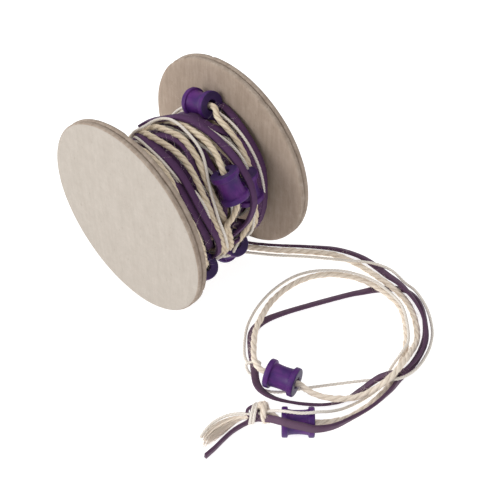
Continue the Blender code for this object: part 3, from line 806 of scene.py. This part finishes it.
def card_ply(node, x_low, x_high, hole, face_low, face_high, seed, rise):
    """One ply of a disc: a flat board with a cut, slightly crushed and layered edge."""
    angle = np.arange(DISC_SIDES) / DISC_SIDES * 2 * math.pi
    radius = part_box(node)[1].y / MM
    draw = np.random.default_rng(seed)
    wander = noise_wave(angle, seed, (2, 3, 5, 8, 13), 0.05)
    nicks = np.zeros_like(angle)
    for _ in range(5):
        centre, depth, width = draw.uniform(0, 2 * math.pi), draw.uniform(0.1, 0.4), 0.02
        away = (angle - centre + math.pi) % (2 * math.pi) - math.pi
        nicks += depth * np.exp(-(away / width) ** 2)
    rim = radius - 0.12 + wander + rise * (1 + np.cos(angle))
    face_rows = list(FACE_ROWS)
    if hole:
        face_rows = [hole] + [row for row in face_rows if row > hole + 2]
    warp = noise_wave(angle, seed + 5, (1, 2, 3), 0.035)
    profile = [(x_low + warp * row / radius, row) for row in face_rows]
    slots = [face_low] * len(face_rows)
    depth_steps = np.linspace(0, 1, 9)
    for step in depth_steps:
        bulge = 0.42 * (1 - (2 * abs(step - 0.5)) ** 3.2)
        layer = noise_wave(angle, seed + 20 + int(step * 8), (31, 47, 83), 0.16)
        place = x_low + (x_high - x_low) * (0.04 + 0.92 * step)
        profile.append((place + warp, rim - 0.42 + bulge + layer * 0.35 - nicks * (0.4 + step)))
        slots.append(2)
    profile += [(x_high + warp * row / radius, row) for row in reversed(face_rows)]
    slots[-1] = face_high
    slots += [face_high] * len(face_rows)
    skin = Skin()
    grid = ring_grid(profile, DISC_SIDES)
    if hole:
        grid = np.concatenate([grid, grid[:1]])
        slots[len(profile) - 1] = face_high
    skin.add_grid(grid, caps=False)
    band = np.repeat(slots[:len(grid) - 1], DISC_SIDES)
    skin.slots = band.tolist()
    if not hole:
        for end, order, slot in ((0, -1, face_low), (len(grid) - 1, 1, face_high)):
            loop = (end * DISC_SIDES + np.arange(DISC_SIDES))[::order]
            skin.faces.append(loop.tolist())
            skin.slots.append(slot)
            skin.uvs.append(np.zeros((DISC_SIDES, 2)))
    spool_piece(skin, node.replace("ply", "board"), "card_face card_inside card_edge", "card", node)


def finish_piece(piece, body, slot, *nodes):
    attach(piece, body)
    if nodes:
        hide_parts(*nodes)
    return piece


def spool_piece(skin, name, looks, slot, *nodes):
    """Builds a piece of the spool with the named materials."""
    piece = skin.build(name, [materials[look] for look in looks.split()])
    return finish_piece(piece, "spool", slot, *nodes)


def make_spool():
    boards = (
        ("near_flange_outer_ply", 0, 1, 3), ("near_flange_inner_ply", 1, 1, 7),
        ("far_flange_inner_ply", 1, 1, 13), ("far_flange_outer_ply", 1, 0, 21),
    )
    core_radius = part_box("core_tube")[1].y / MM
    for node, face_low, face_high, seed in boards:
        low, high = (corner.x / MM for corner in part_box(node))
        inner_side_high = ("near" in node) == ("outer" in node)
        if inner_side_high:
            high += PLY_OVERLAP
        else:
            low -= PLY_OVERLAP
        hole = core_radius + 0.25 if "inner" in node else 0.0
        rise = FAR_DISC_RISE if "far" in node else 0.0
        card_ply(node, low, high, hole, face_low, face_high, seed, rise)
    low, high = (corner.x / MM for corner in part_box("core_tube"))
    skin = Skin()
    outer, inner, edge = core_radius, core_radius - CORE_WALL, CORE_EDGE
    grid = ring_grid([
        (low + edge, inner), (low, inner + edge), (low, outer - edge), (low + edge, outer),
        (high - edge, outer), (high, outer - edge), (high, inner + edge), (high - edge, inner),
        (low + edge, inner),
    ], 96)
    skin.add_grid(grid, caps=False)
    spool_piece(skin, "core_board_tube", "card_inside", "card", "core_tube")


def bead_profile():
    """Radius and height from one end of the hole round the outside to the other end."""
    def arc(centre_r, centre_h, size, start, end, steps):
        return [
            (centre_r + size * math.cos(math.radians(a)), centre_h + size * math.sin(math.radians(a)))
            for a in np.linspace(start, end, steps)
        ]

    inside = BEAD_HALF - BEAD_RIM
    half = arc(BEAD_HOLE + 0.35, BEAD_HALF - 0.35, 0.35, 180, 90, 5)
    half += [(3.0, BEAD_HALF), (4.1, BEAD_HALF)]
    half += arc(BEAD_RADIUS - 0.55, BEAD_HALF - 0.55, 0.55, 90, 0, 7)
    half += [(BEAD_RADIUS + 0.02, (BEAD_HALF + inside) / 2)]
    half += arc(BEAD_RADIUS - 0.4, inside + 0.4, 0.4, 0, -90, 5)
    half += arc(BEAD_WAIST + 0.62, inside - 0.33, 0.33, 90, 180, 4)
    half += [(BEAD_WAIST + 0.16, inside - 0.9), (BEAD_WAIST + 0.05, inside * 0.45), (BEAD_WAIST, 0.2)]
    return half + [(radius, -height) for radius, height in reversed(half)]


def make_bead(name):
    """A turned wooden bead; its mesh is centred on the hole, which runs along local Z."""
    centre, axis = bead_line(name)
    profile = np.array(bead_profile())
    profile = np.vstack([profile, profile[:1]])
    angle = np.arange(BEAD_SIDES) / BEAD_SIDES * 2 * math.pi
    radius = profile[:, :1] * np.ones_like(angle)[None, :]
    grid = np.stack([
        radius * np.cos(angle), radius * np.sin(angle), profile[:, 1:] * np.ones_like(angle)[None, :],
    ], axis=-1)
    skin = Skin()
    skin.add_grid(grid[::-1], caps=False)
    middle = 0.5 * (profile[:-1] + profile[1:])[::-1]
    is_end = (np.abs(middle[:, 1]) > BEAD_HALF - 0.12) | (middle[:, 0] < BEAD_HOLE + 0.3)
    skin.slots = np.repeat(is_end.astype(int), BEAD_SIDES).tolist()
    piece = skin.build(name.replace("bead", "wooden_bead"), [
        materials["wood_side"], materials["wood_end"],
    ])
    turn = Vector(axis).to_track_quat("Z", "Y").to_matrix().to_4x4()
    spin = Matrix.Rotation(float(centre[0]), 4, "Z")
    piece.matrix_world = Matrix.Translation(Vector(centre) * MM) @ turn @ spin
    return finish_piece(piece, name, "dyed_wood", name)


def make_winding():
    """The three cords round the core: dense inner coils and the loose outer turns."""
    jute, fibres = Skin(), Skin()
    # Slot 1 gives the inner coils the darker jute, painted shade where they lie deep in the winding.
    for seed, coil in enumerate(PACKED_JUTE_COILS, 31):
        line = coil_line(*coil, 0.2, seed, 1.3)
        twisted(jute, line, PACKED_JUTE, 9, seed, 0.03, slot=1)
    line = coil_line(*JUTE_COIL, 0.9, 33, 0.6)
    twisted(jute, line, JUTE, 18, 33, 0.05, slot=1)
    fuzz(fibres, line, JUTE_RADIUS, 250, 2.6, 0.022, 34)
    line = wound_line(JUTE_TURNS, JUTE_BACKS, 0.45)
    twisted(jute, line, JUTE, 24, 35, 0.06)
    fuzz(fibres, line, JUTE_RADIUS, 3200, 1.9, FINE_HAIR, 36)
    fuzz(fibres, line, JUTE_RADIUS, 420, 6.0, 0.028, 37)
    spool_piece(jute, "jute_turns", "jute_wound jute_deep", "jute", "jute_winding",
                *(f"wound_cord_{number}" for number in range(1, 6)))
    spool_piece(fibres, "jute_turns_fuzz", "jute_hair", "jute")

    lace = Skin()
    line = coil_line(*LACE_COIL, 1.4, 41, 0.8, 130)
    ribbon(lace, line, outward_normals(line), 42)
    line = wound_line(LACE_TURNS, LACE_BACKS, 0.6)
    ribbon(lace, line, outward_normals(line), 43, WOUND_LACE_WIDTH)
    hook = even(on_spool(catmull(LACE_HOOK)), 0.5)
    ribbon(lace, hook, outward_normals(hook, np.linspace(0.2, -0.9, len(hook))), 44)
    # The wound lace takes the darker suede, with painted shade.
    spool_piece(lace, "lace_turns", "suede", "suede", "lace_winding")

    cotton = Skin()
    line = coil_line(*COTTON_COIL, 1.8, 51, 0.5, 40)
    twisted(cotton, line, COTTON, 12, 52, 0.02)
    line = wound_line(COTTON_TURNS, COTTON_BACKS, 0.35)
    twisted(cotton, line, COTTON, 15, 53, 0.02)
    hook = even(on_spool(catmull(COTTON_HOOK)), 0.35)
    twisted(cotton, hook, COTTON, 15, 54, 0.02)
    spool_piece(cotton, "cotton_turns", "waxed_cotton", "cotton", "cotton_winding")


def frayed_end():
    """Fine fibres that spread out of the knot between two edges of the jute's frayed end."""
    skin = Skin()
    draw = np.random.default_rng(66)
    upper, middle, lower = (even(catmull(edge), 0.3) for edge in (FRAY_UPPER, FRAY_MIDDLE, FRAY_LOWER))
    share = np.linspace(0, 1, 16)
    for _ in range(FRAY_FIBRES):
        across = draw.uniform(-1, 1)
        edge = upper if across < 0 else lower
        places = share * draw.uniform(0.8, 1.0)
        points = [
            np.stack([np.interp(places, np.linspace(0, 1, len(line)), column) for column in line.T], 1)
            for line in (middle, edge)
        ]
        fibre = points[0] + abs(across) ** 0.8 * (points[1] - points[0])
        bow = draw.normal(0, 0.3, 3)
        wave = np.sin(share * draw.uniform(3, 8) + draw.uniform(0, 6))[:, None]
        loose = share[:, None] * (1 - 0.2 * share[:, None])
        fibre = fibre + loose * (bow * wave + draw.normal(0, 0.22, 3))
        fibre[:, 2] += draw.uniform(-0.9, 0.7) * (1 - abs(across)) * (1 - 0.6 * share)
        width = draw.uniform(0.05, 0.11) * (1.15 - 0.85 * share)
        angle = np.array(HAIR_CORNERS)
        ring = np.stack([np.cos(angle), np.sin(angle)], axis=-1)[None] * width[:, None, None]
        skin.add_grid(sections(fibre, carried_normals(fibre), ring), u=lengths_along(fibre))
    skin.rest()
    return spool_piece(skin, "jute_frayed_end", "jute_hair", "jute")


def make_free_cords():
    jute_line = even(catmull(JUTE_ROUTE + JUTE_TAIL), 0.4)
    along = lengths_along(jute_line)
    left = along[-1] - along
    share = np.minimum(left, FRAY_TAPER) / FRAY_TAPER
    flare = FRAY_CORE + (1 - FRAY_CORE) * share ** 1.4
    jute = Skin()
    twisted(jute, jute_line, JUTE, 24, 61, 0.06, flare=flare)
    jute.rest()
    # The free jute takes the paler copy of the jute, with painted light.
    jute_piece = spool_piece(jute, "jute_strand", "jute_loose_lit", "jute", "jute_cord", "jute_tail")
    fibres = Skin()
    fuzz(fibres, jute_line, JUTE_RADIUS, 4200, 2.2, FINE_HAIR, 62, floor=0.05)
    fuzz(fibres, jute_line, JUTE_RADIUS, 260, 4.5, 0.03, 65, floor=0.05)
    fibres.rest()
    hair_piece = spool_piece(fibres, "jute_strand_fuzz", "jute_hair", "jute")

    cotton_line = even(catmull(COTTON_ROUTE + COTTON_TAIL), 0.35)
    cotton = Skin()
    twisted(cotton, cotton_line, COTTON, 15, 63, 0.02)
    cotton.rest()
    cotton_piece = spool_piece(cotton, "cotton_strand", "waxed_cotton", "cotton", "cotton_cord",
                               "cotton_tail")

    lace_line = even(catmull(LACE_ROUTE + LACE_TAIL), 0.5)
    lace = Skin()
    ribbon(lace, lace_line, rolled_normals(lace_line), 64)
    lace.rest()
    lace_piece = spool_piece(lace, "lace_strand", "suede_loose_lit", "suede", "suede_lace", "lace_tail")

    knot = [*make_knot(), frayed_end()]


def make_knot():
    """The wraps of the common knot round the three strands."""
    centre = np.array(KNOT_CENTRE)
    axis = unit(np.array(KNOT_AXIS))
    right = unit(np.cross(axis, (0.0, 0.0, 1.0)))
    up = np.cross(right, axis)

    def wrap(reach, shift_first, shift_last, start, end, squeeze=0.86):
        turn = np.radians(np.linspace(start, end, 60))
        shift = np.linspace(shift_first, shift_last, 60)
        return (centre + axis * shift[:, None] + reach * np.cos(turn)[:, None] * right
                + reach * squeeze * np.sin(turn)[:, None] * up)

    jute, lace, cotton, fibres = Skin(), Skin(), Skin(), Skin()
    line = even(wrap(3.1, -3.7, -1.3, -200, 450), 0.35)
    twisted(jute, line, JUTE, 24, 71, 0.08)
    fuzz(fibres, line, JUTE_RADIUS, 900, 1.5, 0.03, 76)
    line = even(wrap(2.6, 0.3, 1.1, -190, 160), 0.4)
    ribbon(lace, line, unit(line - centre - ((line - centre) @ axis)[:, None] * axis), 72)
    hump = even(catmull(KNOT_HUMP), 0.4)
    ribbon(lace, hump, unit(hump - centre), 77)
    for number, shift in enumerate((0.0, 1.15)):
        line = even(wrap(3.5, shift - 1.3, shift + 3.1, 10, 262), 0.3)
        twisted(cotton, line, COTTON, 15, 73 + number, 0.02)
    for skin in (jute, lace, cotton, fibres):
        skin.rest()
    return [
        spool_piece(jute, "knot_jute_wrap", "jute_loose_lit", "jute", "end_knot"),
        spool_piece(lace, "knot_lace_wrap", "suede_loose_lit", "suede"),
        spool_piece(cotton, "knot_cotton_wraps", "waxed_cotton", "cotton"),
        spool_piece(fibres, "knot_fuzz", "jute_hair", "jute"),
    ]


# Stage

def make_stage():
    """Pale table, soft lights and the camera."""
    scene = bpy.context.scene
    scene.view_settings.view_transform = "Standard"
    white = Shader("table", (0.55, 0.55, 0.55), 0.9, Emission_Color=(1.0, 1.0, 1.0, 1.0),
                   Emission_Strength=0.82, Specular_IOR_Level=0.1).material
    mesh = bpy.data.meshes.new("table")
    signs = ((-1, -1), (1, -1), (1, 1), (-1, 1))
    corners = [(x * TABLE_REACH, y * TABLE_REACH, 0) for x, y in signs]
    mesh.from_pydata(corners, [], [(0, 1, 2, 3)])
    mesh.materials.append(white)
    table = bpy.data.objects.new("table", mesh)
    scene.collection.objects.link(table)

    world = bpy.data.worlds.new("studio")
    world.use_nodes = True
    sky = world.node_tree.nodes["Background"]
    sky.inputs["Color"].default_value = (1.0, 1.0, 1.0, 1.0)
    sky.inputs["Strength"].default_value = SKY_STRENGTH
    scene.world = world

    aim = Vector(LIGHT_TARGET)
    for name, place, size, power in LIGHTS:
        data = bpy.data.lights.new(name, "AREA")
        data.size = size
        data.energy = power
        light = bpy.data.objects.new(name, data)
        light.location = place
        light.rotation_mode = "QUATERNION"
        light.rotation_quaternion = (aim - Vector(place)).to_track_quat("-Z", "Y")
        scene.collection.objects.link(light)

    data = bpy.data.cameras.new("camera")
    data.sensor_width = CAMERA_SENSOR
    data.lens = CAMERA_LENS
    camera = bpy.data.objects.new("camera", data)
    camera.location = CAMERA_PLACE
    camera.rotation_mode = "QUATERNION"
    camera.rotation_quaternion = (Vector(CAMERA_TARGET) - camera.location).to_track_quat("-Z", "Y")
    scene.collection.objects.link(camera)
    scene.camera = camera


materials = make_materials()
make_stage()
make_spool()
for item in frame["joints"]:
    make_bead(item["child"])
make_winding()
make_free_cords()
